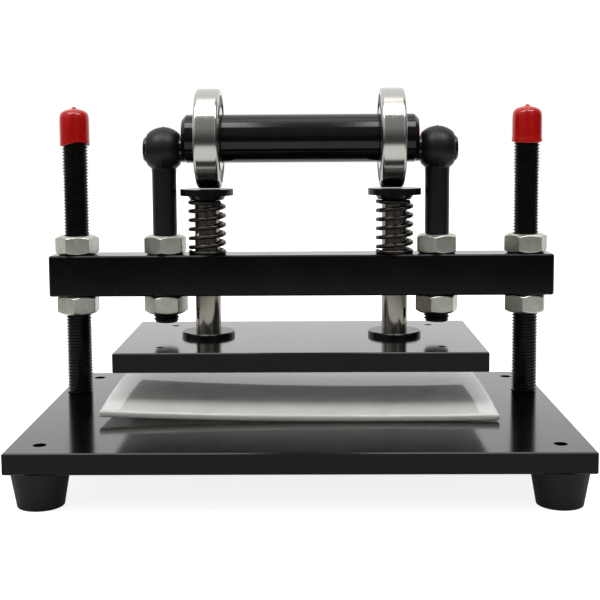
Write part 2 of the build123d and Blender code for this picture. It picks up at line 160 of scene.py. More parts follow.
behind = ramp(room, parts.outputs["Y"], -0.1, 0.6, 0, 1)
rise = ramp(room, parts.outputs["Z"], -0.05, 0.5, 0.2, 1)
lit_share = add_node(room, "ShaderNodeMath", {0: behind, 1: rise}, operation="MAXIMUM")
ceiling = ramp(room, parts.outputs["Z"], 0.94, 1, 0, 1.1)
room_level = add_node(room, "ShaderNodeMath", {
    0: walls.outputs["Color"], 1: lit_share.outputs["Value"], 2: ceiling}, operation="MULTIPLY_ADD")

path = add_node(room, "ShaderNodeLightPath")
seen_past = add_node(room, "ShaderNodeMath", {
    0: path.outputs["Is Camera Ray"], 1: path.outputs["Is Transmission Ray"]}, operation="MAXIMUM")
level = add_node(room, "ShaderNodeMix", {
    "Factor": seen_past.outputs["Value"], "A": room_level.outputs["Value"], "B": 1.0})
glow = add_node(room, "ShaderNodeBackground", {
    "Color": linear("#ffffff"), "Strength": level.outputs["Result"]})
add_node(room, "ShaderNodeOutputWorld", {"Surface": glow.outputs["Background"]})
scene.view_settings.view_transform = "Standard"

# %% [markdown]
# Two long soft boxes hang side by side above the press, in front of it. Their light is soft
# because they are large, and polished steel mirrors them as one bright band. A real lamp is far
# brighter in a mirror than the light that paper gives back, so mirrors see boxes of their own,
# and matte surfaces get theirs from a wide panel right above the press.

# %% Hang the lamps
def hang_lamp(name, place, width, depth, brightness, for_mirrors):
    """Hang a flat lamp that faces down. A brightness of 1 looks like white paper."""
    lamp = bpy.data.lights.new(name, "AREA")
    lamp.shape = "RECTANGLE"
    lamp.size, lamp.size_y = width, depth
    lamp.energy = brightness * pi * width * depth
    panel = bpy.data.objects.new(name, lamp)
    scene.collection.objects.link(panel)
    panel.location = place
    panel.visible_camera = False
    panel.visible_glossy = for_mirrors
    panel.visible_diffuse = not for_mirrors


hang_lamp("soft_box_left", (-0.47, -0.34, 1.09), 0.78, 0.48, 7.0, True)
hang_lamp("soft_box_right", (0.47, -0.34, 1.09), 0.78, 0.48, 7.0, True)
hang_lamp("wide_panel", (0, -0.04, 1.12), 1.7, 0.8, 1.75, False)

# %% [markdown]
# The bench top is a plain white sheet. It is lit by the same lamps as the press, so it keeps the
# press's shadow, and for the camera a glow is added that brings it up to the white of the wall
# and hides the far edge. In mirrors it darkens towards the sides and the photographer, where the
# light ends.

# %% Lay the bench top
bench_finish = bpy.data.materials.new("white_bench_laminate")
bench_finish.use_nodes = True
bench_tree = bench_finish.node_tree
bench_tree.nodes.clear()
ray = add_node(bench_tree, "ShaderNodeLightPath")
bench_place = add_node(bench_tree, "ShaderNodeTexCoord").outputs["Object"]
bench_parts = add_node(bench_tree, "ShaderNodeSeparateXYZ", {"Vector": bench_place})
bench_distance = add_node(bench_tree, "ShaderNodeVectorMath", {0: bench_place}, operation="LENGTH")
lit_near = ramp(bench_tree, bench_distance.outputs["Value"], 0.85, 0.46, 0.08, 1)
lit_behind = ramp(bench_tree, bench_parts.outputs["Y"], -0.1, 0.3, 0, 1)
lit = add_node(bench_tree, "ShaderNodeMath", {
    0: lit_near, 1: lit_behind}, operation="MAXIMUM").outputs["Value"]
unlit = add_node(bench_tree, "ShaderNodeMath", {0: 1.0, 1: lit}, operation="SUBTRACT")
mirror_dark = add_node(bench_tree, "ShaderNodeMath", {
    0: ray.outputs["Is Glossy Ray"], 1: unlit.outputs["Value"]}, operation="MULTIPLY")
sheet_colour = add_node(bench_tree, "ShaderNodeMix", {
    "Factor": mirror_dark.outputs["Value"], "A": linear("#dcdcdc"), "B": linear("#000000")},
    data_type="RGBA")
sheet = add_node(bench_tree, "ShaderNodeBsdfDiffuse", {"Color": sheet_colour.outputs["Result"]})
near_glow = add_node(bench_tree, "ShaderNodeMath", {0: lit, 1: 0.2}, operation="MULTIPLY")
mirror_glow = add_node(bench_tree, "ShaderNodeMath", {
    0: ray.outputs["Is Glossy Ray"], 1: near_glow.outputs["Value"]}, operation="MULTIPLY")
far_white = add_node(bench_tree, "ShaderNodeMapRange", {
    "Value": bench_distance.outputs["Value"], "From Min": 0.35, "From Max": 1.0,
    "To Min": 0.85, "To Max": 1.0})
straight = add_node(bench_tree, "ShaderNodeMath", {
    0: ray.outputs["Is Camera Ray"], 1: ray.outputs["Is Transmission Ray"]}, operation="MAXIMUM")
bench_level = add_node(bench_tree, "ShaderNodeMath", {
    0: straight.outputs["Value"], 1: far_white.outputs["Result"], 2: mirror_glow.outputs["Value"]},
    operation="MULTIPLY_ADD")
bench_glow = add_node(bench_tree, "ShaderNodeEmission", {
    "Color": linear("#ffffff"), "Strength": bench_level.outputs["Value"]})
both = add_node(bench_tree, "ShaderNodeAddShader", {
    0: sheet.outputs["BSDF"], 1: bench_glow.outputs["Emission"]})
add_node(bench_tree, "ShaderNodeOutputMaterial", {"Surface": both.outputs["Shader"]})

bench_mesh = bpy.data.meshes.new("bench_top")
bench_reach = 6.0
bench_front = -1.5
bench_corners = [(-bench_reach, bench_front, 0), (bench_reach, bench_front, 0),
                 (bench_reach, bench_reach, 0), (-bench_reach, bench_reach, 0)]
bench_mesh.from_pydata(bench_corners, [], [(0, 1, 2, 3)])
bench_mesh.materials.append(bench_finish)
bench = bpy.data.objects.new("bench_top", bench_mesh)
scene.collection.objects.link(bench)

# %% [markdown]
# Every finish starts the same way: a Principled shader whose plain numbers are set on its own
# sockets, and a position in millimetres that the patterns read. A pattern's size can then be
# written as a real size on the press.

# %% Start a finish
def new_finish(name, numbers):
    """Make a material and return it with its node tree and shader, the plain numbers already set."""
    finish = bpy.data.materials.new(name)
    finish.use_nodes = True
    shader = finish.node_tree.nodes["Principled BSDF"]
    for socket, value in numbers.items():
        shader.inputs[socket].default_value = value
    return finish, finish.node_tree, shader


def cloud(tree, size_mm, stretch=(1, 1, 1), detail=3):
    """Noise whose blotches are size_mm wide, narrower along an axis with a stretch above 1."""
    place = add_node(tree, "ShaderNodeTexCoord").outputs["Object"]
    scaled = add_node(tree, "ShaderNodeMapping", {
        "Vector": place, "Scale": [s / (size_mm * mm) for s in stretch]})
    noise = add_node(tree, "ShaderNodeTexNoise", {
        "Vector": scaled.outputs["Vector"], "Scale": 1.0, "Detail": detail})
    return noise.outputs["Fac"]


def spread(tree, pattern, low, high, start=0.35, stop=0.65):
    """Bring a pattern's middle range to the low and high values of a shader socket."""
    return add_node(tree, "ShaderNodeMapRange", {
        "Value": pattern, "From Min": start, "From Max": stop,
        "To Min": low, "To Max": high}).outputs["Result"]


def tint(tree, pattern, dark, light, start=0.35, stop=0.65):
    """Blend from one colour code to another along a pattern."""
    blend = add_node(tree, "ShaderNodeValToRGB", {"Fac": pattern})
    first, last = blend.color_ramp.elements
    first.position, last.position = start, stop
    first.color, last.color = linear(dark), linear(light)
    return blend.outputs["Color"]


def relief(tree, shader, pattern, height_mm):
    """Raise the surface by a pattern, up to the height in millimetres."""
    bump = add_node(tree, "ShaderNodeBump", {
        "Height": pattern, "Distance": height_mm * mm, "Strength": 1.0})
    tree.links.new(bump.outputs["Normal"], shader.inputs["Normal"])


# %% [markdown]
# The three plates are ground steel with a baked black coating. Seen from the front they are
# black, and seen at a low angle they mirror the white wall and each other, a little blurred. The
# base and the press plate also carry a wipe of oil against rust. A film of oil on the coating is
# a second thin layer, and two layers of low index mirror more at a low angle than one, so the
# oil is the shader's coat. The blur comes from the roughness, which drifts in soft clouds.

# %% Mix the plates' baked black coating
def bake_black(name, numbers):
    """A baked black coating with its cloudy gloss and the faint ripple of sprayed lacquer."""
    finish, tree, shader = new_finish(name, numbers)
    tree.links.new(tint(tree, cloud(tree, 18), "#050505", "#090908"), shader.inputs["Base Color"])
    tree.links.new(spread(tree, cloud(tree, 30), 0.11, 0.16), shader.inputs["Roughness"])
    # The real ripple is under a tenth of a millimetre wide; it is drawn 1.6 mm wide to show at all.
    relief(tree, shader, cloud(tree, 1.6, detail=1), 0.006)
    return finish


coating = bake_black("baked_black_coating", {"IOR": 1.36})
oiled_coating = bake_black("oiled_black_coating", {
    "IOR": 1.17, "Coat Weight": 1.0, "Coat IOR": 1.2, "Coat Roughness": 0.11})

# %% [markdown]
# Columns, shaft, post caps and flanges are turned steel, blackened in a salt bath. The black is
# a thin oxide that keeps the tool's fine rings, so light runs along them in soft lines.

# %% Mix the blackened turned steel
def blacken(name, stretch, dark, light, gloss):
    """Black oxide on steel turned about one axis, its rings along it; gloss is the roughness."""
    finish, tree, shader = new_finish(name, {"IOR": 1.4})
    tree.links.new(tint(tree, cloud(tree, 9), dark, light), shader.inputs["Base Color"])
    rings = cloud(tree, 1.1, stretch, detail=2)  # real rings are 0.1 mm apart, drawn 1.1 mm
    tree.links.new(spread(tree, rings, gloss, gloss + 0.05), shader.inputs["Roughness"])
    relief(tree, shader, rings, 0.002)
    return finish


upright_black = blacken("black_oxide_upright", (0, 0, 1), "#0a0a09", "#121210", 0.17)
shaft_black = blacken("black_oxide_shaft", (1, 0, 0), "#070707", "#0c0c0b", 0.1)

# %% [markdown]
# The eye bolts are drop forged and then blackened. Their skin is not turned, so it has no rings
# but a fine pebbled scale, and it is duller than the shaft.

# %% Mix the forged black skin
forged, tree, shader = new_finish("forged_black_scale", {"IOR": 1.38})
pebbles = cloud(tree, 0.9, detail=4)
tree.links.new(tint(tree, cloud(tree, 6), "#060606", "#0b0a09"), shader.inputs["Base Color"])
tree.links.new(spread(tree, pebbles, 0.36, 0.48), shader.inputs["Roughness"])
relief(tree, shader, pebbles, 0.03)

# %% [markdown]
# The nuts are pressed steel with matte zinc plating: a grey metal with a breath of yellow, whose
# fine crystals scatter the light. A zinc crystal is far too small to see, so the mottling stands
# for the clouds of them.

# %% Mix the zinc plating
zinc, tree, shader = new_finish("matte_zinc_plating", {"Metallic": 1.0})
tree.links.new(tint(tree, cloud(tree, 4), "#c4c3b7", "#d2d1c8"), shader.inputs["Base Color"])
tree.links.new(spread(tree, cloud(tree, 2.2), 0.28, 0.36), shader.inputs["Roughness"])
relief(tree, shader, cloud(tree, 0.5, detail=2), 0.006)

# %% [markdown]
# The guide posts are centreless ground and polished. They are almost mirrors, and the grinding
# leaves rings that only widen the reflection a little along the post.

# %% Mix the polished post steel
polished, tree, shader = new_finish("ground_polished_post", {"Metallic": 1.0, "Base Color": linear("#98948a")})
post_rings = cloud(tree, 0.7, (0, 0, 1), detail=2)  # real rings are 0.05 mm apart
tree.links.new(spread(tree, post_rings, 0.08, 0.14), shader.inputs["Roughness"])

# %% [markdown]
# The bearing rings are hardened steel, ground all over, so fine lines run round them. The dust shields between
# the rings are pressed from sheet, and their colour is set much darker than the rings.

# %% Mix the bearing steels
ground, tree, shader = new_finish("ground_bearing_steel", {"Metallic": 1.0})
lines = cloud(tree, 0.8, (1, 0, 0), detail=3)  # real grinding lines are 0.05 mm apart
tree.links.new(tint(tree, lines, "#bdbbb5", "#c7c5bf"), shader.inputs["Base Color"])
tree.links.new(spread(tree, lines, 0.13, 0.18), shader.inputs["Roughness"])
relief(tree, shader, lines, 0.0005)

shield_steel, tree, shader = new_finish("pressed_shield_steel", {"Metallic": 1.0})
tree.links.new(tint(tree, cloud(tree, 7), "#4c4a47", "#5c5a56"), shader.inputs["Base Color"])
tree.links.new(spread(tree, cloud(tree, 3), 0.26, 0.36), shader.inputs["Roughness"])

# %% [markdown]
# Spring wire is drawn and oil tempered, which leaves it brown-black with a dull metal shine. The
# bushes are cast bronze, warm and slightly rough where the tool bored them.

# %% Mix the spring wire and the bush bronze
wire_steel, tree, shader = new_finish("oil_tempered_wire", {"Metallic": 1.0})
tree.links.new(tint(tree, cloud(tree, 3), "#34302d", "#47423e"), shader.inputs["Base Color"])
tree.links.new(spread(tree, cloud(tree, 1.5), 0.24, 0.34), shader.inputs["Roughness"])

bronze, tree, shader = new_finish("cast_bronze", {"Metallic": 1.0})
tree.links.new(tint(tree, cloud(tree, 2), "#a67c45", "#c39a5e"), shader.inputs["Base Color"])
tree.links.new(spread(tree, cloud(tree, 1, (0, 0, 1)), 0.28, 0.4), shader.inputs["Roughness"])

# %% [markdown]
# The feet are moulded rubber: black, dull, with the fine grain of a blasted mould.

# %% Mix the rubber
rubber, tree, shader = new_finish("moulded_rubber", {"IOR": 1.35})
grain = cloud(tree, 0.8, detail=3)
tree.links.new(tint(tree, cloud(tree, 12), "#080808", "#0c0c0b"), shader.inputs["Base Color"])
tree.links.new(spread(tree, grain, 0.5, 0.62), shader.inputs["Roughness"])
relief(tree, shader, grain, 0.03)

# %% [markdown]
# The caps are dipped in liquid vinyl and baked. The vinyl is thick, glossy and a little
# translucent, so light that enters near an edge comes out red, and the surface is smooth with
# slow waves where the liquid ran.

# %% Mix the dipped vinyl
vinyl, tree, shader = new_finish("dipped_red_vinyl", {
    "IOR": 1.45, "Subsurface Weight": 0.15, "Subsurface Radius": (1.0, 0.12, 0.06),
    "Subsurface Scale": 1.2 * mm})
tree.links.new(tint(tree, cloud(tree, 6), "#c00d08", "#cf140c"), shader.inputs["Base Color"])
tree.links.new(spread(tree, cloud(tree, 8), 0.1, 0.16), shader.inputs["Roughness"])
relief(tree, shader, cloud(tree, 5, detail=1), 0.05)

# %% [markdown]
# The pad is a milky sheet of soft polyethylene. It glows a little from inside, and its pressed
# surface mirrors the plate above it with a slight blur.

# %% Mix the milky pad plastic
milky, tree, shader = new_finish("milky_polyethylene", {
    "IOR": 1.5, "Subsurface Weight": 0.6, "Subsurface Radius": (1.0, 1.0, 0.9), "Subsurface Scale": 5 * mm})
tree.links.new(tint(tree, cloud(tree, 20), "#e0e1dc", "#e7e8e2"), shader.inputs["Base Color"])
tree.links.new(spread(tree, cloud(tree, 25), 0.03, 0.05), shader.inputs["Roughness"])
relief(tree, shader, cloud(tree, 2.5, detail=2), 0.004)

# %% [markdown]
# Each piece of the frame now gets its finish. The list follows the press from the bench up, and
# a piece that is made again later hands its finish on.

# %% Give every piece its finish
both_sides = ("left", "right")
finishes = {
    coating: ["crossbar"],
    oiled_coating: ["base_plate", "press_plate"],
    rubber: ["foot_front_left", "foot_front_right", "foot_back_left", "foot_back_right"],
    zinc: ["foot_washers", "foot_screws"]
    + [f"base_lock_nut_{side}" for side in both_sides]
    + [f"{kind}_nut_{side}_{level}" for kind in ("column", "eye") for side in both_sides
       for level in ("upper", "lower")],
    upright_black: ["press_screws"] + [f"{name}_{side}" for side in both_sides
                                       for name in ("column", "post_cap", "post_flange")],
    shaft_black: ["roller_shaft"],
    forged: ["eye_bolt_left", "eye_bolt_right"],
    polished: [f"guide_post_{side}" for side in both_sides],
    bronze: [f"guide_bush_{side}" for side in both_sides],
    wire_steel: [f"spring_{side}" for side in both_sides],
    ground: [f"bearing_{name}_{side}" for side in both_sides
             for name in ("outer_ring", "inner_ring", "balls")],
    shield_steel: [f"bearing_{name}_{side}" for side in both_sides
                   for name in ("shields", "cage")],
    vinyl: ["vinyl_cap_left", "vinyl_cap_right"],
    milky: ["cutting_pad"],
}
for finish, names in finishes.items():
    for name in names:
        nodes[name].data.materials.clear()
        nodes[name].data.materials.append(finish)
print(sum(len(names) for names in finishes.values()), "pieces finished of", len(nodes))

# %% [markdown]
# Some pieces need more shape than the frame gives them. Each of these is made again in the same
# place, rides on the same body and hides the frame's own piece. The sizes are read from the
# frame's boxes where they can be, so the new piece follows the frame.

# %% Write the helpers for pieces that are made again
def box_of(node):
    """The middle, lowest and highest corner of a frame piece."""
    low, high = (Vector(corner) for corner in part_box(node))
    return (low + high) / 2, low, high


def new_piece(name, shape):
    """Put a bmesh into a new object, its doubles merged, its faces outward and shaded smooth."""
    bmesh.ops.remove_doubles(shape, verts=shape.verts, dist=0.002 * mm)
    bmesh.ops.recalc_face_normals(shape, faces=shape.faces)
    mesh = bpy.data.meshes.new(name)
    shape.to_mesh(mesh)
    shape.free()
    mesh.shade_smooth()
    piece = bpy.data.objects.new(name, mesh)
    scene.collection.objects.link(piece)
    return piece


def baked_mesh(piece):
    """A plain mesh of what a piece looks like with its modifiers."""
    seen = piece.evaluated_get(bpy.context.evaluated_depsgraph_get())
    return bpy.data.meshes.new_from_object(seen)


def stand_for(piece, node, body):
    """Let a piece ride on a body in place of a frame piece, which is hidden."""
    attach(piece, body)
    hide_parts(node)
    print(piece.name, len(piece.data.polygons), "faces")


# %% [markdown]
# Geometry Nodes make what follows a rule: here the threads and the springs. A tree gets a named
# input for each size, so one tree serves every piece of its kind, and it ends by making its
# instances real and giving them the finish. The result is then kept as a plain mesh.

# %% Write the helpers for trees
def start_tree(name, sizes):
    """Start a geometry tree with an input for each named size, and return it with its inputs."""
    tree = bpy.data.node_groups.new(name, "GeometryNodeTree")
    for size, kind in sizes.items():
        tree.interface.new_socket(size, in_out="INPUT", socket_type=f"NodeSocket{kind}")
    tree.interface.new_socket("Mesh", in_out="OUTPUT", socket_type="NodeSocketGeometry")
    return tree, tree.nodes.new("NodeGroupInput").outputs


def end_tree(tree, mesh, finish):
    """End every tree alike: instances made real, then the finish set."""
    real = add_node(tree, "GeometryNodeRealizeInstances", {"Geometry": mesh})
    finished = add_node(tree, "GeometryNodeSetMaterial", {
        "Geometry": real.outputs["Geometry"], "Material": finish})
    add_node(tree, "NodeGroupOutput", {"Mesh": finished.outputs["Geometry"]})


def grow(name, tree, sizes):
    """Run a tree with these sizes and keep what it makes as a plain mesh."""
    piece = bpy.data.objects.new(name, bpy.data.meshes.new(name))
    scene.collection.objects.link(piece)
    growth = piece.modifiers.new("growth", "NODES")
    growth.node_group = tree
    for socket in tree.interface.items_tree:
        if socket.in_out == "INPUT":
            growth[socket.identifier] = sizes[socket.name]
    made = baked_mesh(piece)
    piece.modifiers.clear()
    piece.data = made
    return piece


# %% [markdown]
# A real thread is one groove that climbs two millimetres each turn. It could be a screw modifier
# on a profile, but the ends would stay open. So a flat grid is wound up: each column of the grid
# is one step round the screw and holds the five corners of the thread's profile, from root over
# crest to the next root. Turns that run past an end shrink to its middle and so close it.

# %% Wind the thread tree
thread_tree, sizes = start_tree("right_hand_thread", {
    "Place": "Vector", "Low": "Float", "High": "Float", "Crest": "Float", "Depth": "Float",
    "Pitch": "Float", "Chamfer": "Float", "Steps": "Int", "Closing": "Int", "Finish": "Material"})
tree = thread_tree

length = add_node(tree, "ShaderNodeMath", {0: sizes["High"], 1: sizes["Low"]}, operation="SUBTRACT")
length_turns = add_node(tree, "ShaderNodeMath", {
    0: length.outputs[0], 1: sizes["Pitch"]}, operation="DIVIDE")
all_turns = add_node(tree, "ShaderNodeMath", {
    0: sizes["Closing"], 1: 2.0, 2: length_turns.outputs[0]}, operation="MULTIPLY_ADD")
all_steps = add_node(tree, "ShaderNodeMath", {
    0: all_turns.outputs[0], 1: sizes["Steps"], 2: 1.0}, operation="MULTIPLY_ADD")
profile_corners = 5
grid = add_node(tree, "GeometryNodeMeshGrid", {
    "Size X": 1.0, "Size Y": 1.0, "Vertices X": all_steps.outputs[0], "Vertices Y": profile_corners})

index = add_node(tree, "GeometryNodeInputIndex").outputs["Index"]
corner = add_node(tree, "ShaderNodeMath", {0: index, 1: profile_corners}, operation="MODULO")
step = add_node(tree, "ShaderNodeMath", {0: index, 1: profile_corners}, operation="DIVIDE")
whole_step = add_node(tree, "ShaderNodeMath", {0: step.outputs[0]}, operation="FLOOR")
turns = add_node(tree, "ShaderNodeMath", {
    0: whole_step.outputs[0], 1: sizes["Steps"]}, operation="DIVIDE")

shares = {}
for name, values in {"climb": (0, 0.125, 0.5, 0.625, 1), "crest": (0, 0, 1, 1, 0)}.items():
    choice = add_node(tree, "GeometryNodeIndexSwitch", {
        "Index": corner.outputs[0]}, data_type="FLOAT")
    for value in values[2:]:
        choice.index_switch_items.new()
    for place, value in enumerate(values):
        choice.inputs[place + 1].default_value = value
    shares[name] = choice.outputs[0]

climb = add_node(tree, "ShaderNodeMath", {0: turns.outputs[0], 1: shares["climb"]}, operation="ADD")
climb_inside = add_node(tree, "ShaderNodeMath", {
    0: climb.outputs[0], 1: sizes["Closing"]}, operation="SUBTRACT")
height = add_node(tree, "ShaderNodeMath", {
    0: climb_inside.outputs[0], 1: sizes["Pitch"], 2: sizes["Low"]}, operation="MULTIPLY_ADD")
from_low = add_node(tree, "ShaderNodeMath", {
    0: height.outputs[0], 1: sizes["Low"]}, operation="SUBTRACT")
from_high = add_node(tree, "ShaderNodeMath", {
    0: sizes["High"], 1: height.outputs[0]}, operation="SUBTRACT")
inside = add_node(tree, "ShaderNodeMath", {
    0: from_low.outputs[0], 1: from_high.outputs[0]}, operation="MINIMUM")

tip = add_node(tree, "ShaderNodeMath", {
    0: sizes["Crest"], 1: sizes["Chamfer"]}, operation="SUBTRACT")
cone = add_node(tree, "ShaderNodeMath", {0: tip.outputs[0], 1: inside.outputs[0]}, operation="ADD")
closing_length = add_node(tree, "ShaderNodeMath", {
    0: sizes["Closing"], 1: sizes["Pitch"]}, operation="MULTIPLY")
closed = add_node(tree, "ShaderNodeMath", {
    0: inside.outputs[0], 1: closing_length.outputs[0]}, operation="DIVIDE")
face = add_node(tree, "ShaderNodeMath", {
    0: closed.outputs[0], 1: tip.outputs[0], 2: tip.outputs[0]}, operation="MULTIPLY_ADD")
end_limit = add_node(tree, "ShaderNodeMath", {
    0: cone.outputs[0], 1: face.outputs[0]}, operation="MINIMUM")
end_radius = add_node(tree, "ShaderNodeMath", {
    0: end_limit.outputs[0], 1: 0.0}, operation="MAXIMUM")
root = add_node(tree, "ShaderNodeMath", {
    0: sizes["Crest"], 1: sizes["Depth"]}, operation="SUBTRACT")
flank = add_node(tree, "ShaderNodeMath", {
    0: shares["crest"], 1: sizes["Depth"], 2: root.outputs[0]}, operation="MULTIPLY_ADD")
radius = add_node(tree, "ShaderNodeMath", {
    0: flank.outputs[0], 1: end_radius.outputs[0]}, operation="MINIMUM")

angle = add_node(tree, "ShaderNodeMath", {0: turns.outputs[0], 1: 2 * pi}, operation="MULTIPLY")
over_x = add_node(tree, "ShaderNodeMath", {0: angle.outputs[0]}, operation="COSINE")
over_y = add_node(tree, "ShaderNodeMath", {0: angle.outputs[0]}, operation="SINE")
level = add_node(tree, "ShaderNodeClamp", {
    "Value": height.outputs[0], "Min": sizes["Low"], "Max": sizes["High"]})
unit = add_node(tree, "ShaderNodeCombineXYZ", {"X": over_x.outputs[0], "Y": over_y.outputs[0]})
ring = add_node(tree, "ShaderNodeVectorMath", {
    0: unit.outputs[0], "Scale": radius.outputs[0]}, operation="SCALE")
lift = add_node(tree, "ShaderNodeCombineXYZ", {"Z": level.outputs[0]})
raised = add_node(tree, "ShaderNodeVectorMath", {0: ring.outputs[0], 1: lift.outputs[0]})
placed = add_node(tree, "ShaderNodeVectorMath", {0: raised.outputs[0], 1: sizes["Place"]})
wound = add_node(tree, "GeometryNodeSetPosition", {
    "Geometry": grid.outputs["Mesh"], "Position": placed.outputs[0]})
closed_skin = add_node(tree, "GeometryNodeMergeByDistance", {
    "Geometry": wound.outputs["Geometry"], "Distance": 0.004 * mm})
end_tree(tree, closed_skin.outputs["Geometry"], sizes["Finish"])
print("thread tree has", len(tree.nodes), "nodes")

# %% [markdown]
# The two columns are cut from black threaded rod, 16 mm thick with a pitch of 2 mm. The drawn
# depth would be 1.2 mm, but the black finish fills the roots, so about 1 mm of it shows.

# %% Cut the columns' threads
thread_sizes = {
    "Crest": 8.0 * mm, "Depth": 1.0 * mm, "Pitch": 2.0 * mm, "Chamfer": 1.5 * mm,
    "Steps": 40, "Closing": 2, "Finish": upright_black}


def cut_thread(name, place, low, high):
    """Grow a thread and keep its crests sharp, its face directions checked."""
    rod = grow(name, thread_tree, {
        **thread_sizes, "Place": (place.x, place.y, 0), "Low": low, "High": high})
    skin = bmesh.new()
    skin.from_mesh(rod.data)
    bmesh.ops.dissolve_degenerate(skin, dist=0.001 * mm, edges=skin.edges)
    bmesh.ops.recalc_face_normals(skin, faces=skin.faces)
    skin.to_mesh(rod.data)
    skin.free()
    rod.data.shade_smooth()
    rod.data.set_sharp_from_angle(angle=radians(40))
    return rod


for side in both_sides:
    middle, low, high = box_of(f"column_{side}")
    rod = cut_thread(f"threaded_column_{side}", middle, low.z, high.z)
    stand_for(rod, f"column_{side}", "frame")

# %% [markdown]
# The eye bolts are forged: a rod's end is upset to a ball, flattened on two sides and bored. The
# hammered skin has no sharp corner, and a low ridge is left where the two dies met. The frame's
# plain shape is a good start, so a copy is rebuilt from half-millimetre cells, smoothed, and
# raised along the line of the dies. Below, the rod's cut thread is joined on.

# %% Forge the eye bolts
forge_cell = 0.5 * mm
ridge_height, ridge_width = 0.3 * mm, 0.7 * mm
ball_radius, ball_reach = 14 * mm, 12 * mm
cut_above, thread_overlap = 0.2 * mm, 0.6 * mm

for side in both_sides:
    node = f"eye_bolt_{side}"
    body_middle, low, high = box_of(node)
    shank_start = box_of(f"eye_nut_{side}_upper")[2].z
    ball_middle = high.z - ball_radius

    skin = bmesh.new()
    skin.from_mesh(nodes[node].data)
    bmesh.ops.remove_doubles(skin, verts=skin.verts, dist=0.001 * mm)
    everything = skin.verts[:] + skin.edges[:] + skin.faces[:]
    bmesh.ops.bisect_plane(skin, geom=everything, plane_co=(0, 0, shank_start + cut_above),
                           plane_no=(0, 0, 1), clear_inner=True)
    bmesh.ops.holes_fill(skin, edges=[edge for edge in skin.edges if edge.is_boundary])
    rough = new_piece(f"forged_eye_{side}", skin)
    cells = rough.modifiers.new("cells", "REMESH")
    cells.mode, cells.voxel_size = "VOXEL", forge_cell
    calm = rough.modifiers.new("calm", "SMOOTH")
    calm.factor, calm.iterations = 0.5, 8
    forging = baked_mesh(rough)
    rough.modifiers.clear()
    for point in forging.vertices:
        away = Vector((0, point.co.y - body_middle.y, point.co.z - ball_middle))
        if away.length > ball_reach:
            beside = (point.co.x - body_middle.x) / ridge_width
            point.co += away.normalized() * ridge_height * max(0, 1 - beside ** 2)

    rod = cut_thread(f"eye_thread_{side}", body_middle, low.z, shank_start + thread_overlap)
    whole = bmesh.new()
    whole.from_mesh(forging)
    whole.from_mesh(rod.data)
    bpy.data.objects.remove(rod)
    whole.to_mesh(rough.data)
    whole.free()
    rough.data.materials.clear()
    rough.data.materials.append(forged)
    rough.data.shade_smooth()
    rough.data.set_sharp_from_angle(angle=radians(40))
    stand_for(rough, node, "crossbar")

# %% [markdown]
# A nut is a hexagon turned down to a cone at both ends, and its edges are tumbled round. The
# frame's nut has sharp edges, which would stay dark lines. So the skin is worked out point by
# point: the smaller of the hexagon's and the cone's radius, with a soft blend where they meet.

# %% Press the nuts
nut_flat, nut_face, nut_hole = 12 * mm, 10.8 * mm, 8.03 * mm
corner_rounding, cone_rounding, countersink = 0.6 * mm, 0.45 * mm, 0.9 * mm
chamfer_slope = pi / 6
nut_levels = [0, 0.1, 0.25, 0.4, 0.55, 0.7, 0.85, 1.0, 1.2, 1.4, 1.6, 1.8, 2.0, 2.3, 2.8]
from_corner = [0, 0.6, 1.2, 1.9, 2.7, 4, 6, 10, 15, 20, 25, 30]
sector = from_corner + [60 - part for part in reversed(from_corner[1:-1])]
nut_angles = [radians(part + 60 * corner) for corner in range(6) for part in sector]


def soft_least(one, other, reach):
    """The smaller of two lengths, rounded off over a reach where they are nearly equal."""
    overlap = max(reach - abs(one - other), 0) / reach
    return min(one, other) - overlap ** 2 * reach / 4


def hexagon_reach(angle):
    """Distance from a nut's middle to its side, with the corners between two flats rounded."""
    from_flat = angle % (pi / 3) - pi / 6
    near = nut_flat / cos(from_flat)
    beside = nut_flat / cos(pi / 3 - abs(from_flat))
    return soft_least(near, beside, corner_rounding)


def ring_side(shape, place, angle, profile):
    """Add a profile's points of radius and height on one side of an upright line."""
    return [shape.verts.new((place.x + radius * cos(angle), place.y + radius * sin(angle), height))
            for radius, height in profile]


def join_rings(shape, rings, closed):
    """Fill the bands between rings of points that go once round."""
    for ring, following in zip(rings, rings[1:] + rings[:1]):
        for at in range(0 if closed else 1, len(ring)):
            shape.faces.new((ring[at - 1], following[at - 1], following[at], ring[at]))


def press_nut(name, middle, low, high, turned):
    """Make a nut between two heights, turned by an angle in degrees about its upright axis."""
    shape = bmesh.new()
    half = [level * mm for level in nut_levels]
    heights = [low + level for level in half] + [high - level for level in reversed(half)]
    rings = []
    for angle in nut_angles:
        profile = [(nut_hole, low + countersink), (nut_hole + countersink, low)]
        for height in heights:
            cone = nut_face + min(height - low, high - height) / tan(chamfer_slope)
            profile.append((soft_least(hexagon_reach(angle), cone, cone_rounding), height))
        profile += [(nut_hole + countersink, high), (nut_hole, high - countersink)]
        facing = angle + radians(turned)
        rings.append(ring_side(shape, middle, facing, profile))
    join_rings(shape, rings, closed=True)
    nut = new_piece(name, shape)
    nut.data.materials.append(zinc)
    nut.data.set_sharp_from_angle(angle=radians(50))
    return nut


nut_turns = {
    "column_nut_left_upper": 12, "column_nut_left_lower": 29.5, "column_nut_right_upper": 4.5,
    "column_nut_right_lower": 15, "eye_nut_left_upper": 24, "eye_nut_left_lower": 9.5,
    "eye_nut_right_upper": 21, "eye_nut_right_lower": 11}
for node, turned in nut_turns.items():
    middle, low, high = box_of(node)
    nut = press_nut(node.replace("nut", "hexagon_nut"), middle, low.z, high.z, turned)
    stand_for(nut, node, node.replace("column_", "") if "column" in node else "crossbar")
for side in both_sides:
    node = f"base_lock_nut_{side}"
    middle, low, high = box_of(node)
    stand_for(press_nut(f"thin_nut_{side}", middle, low.z, high.z, 0), node, "frame")

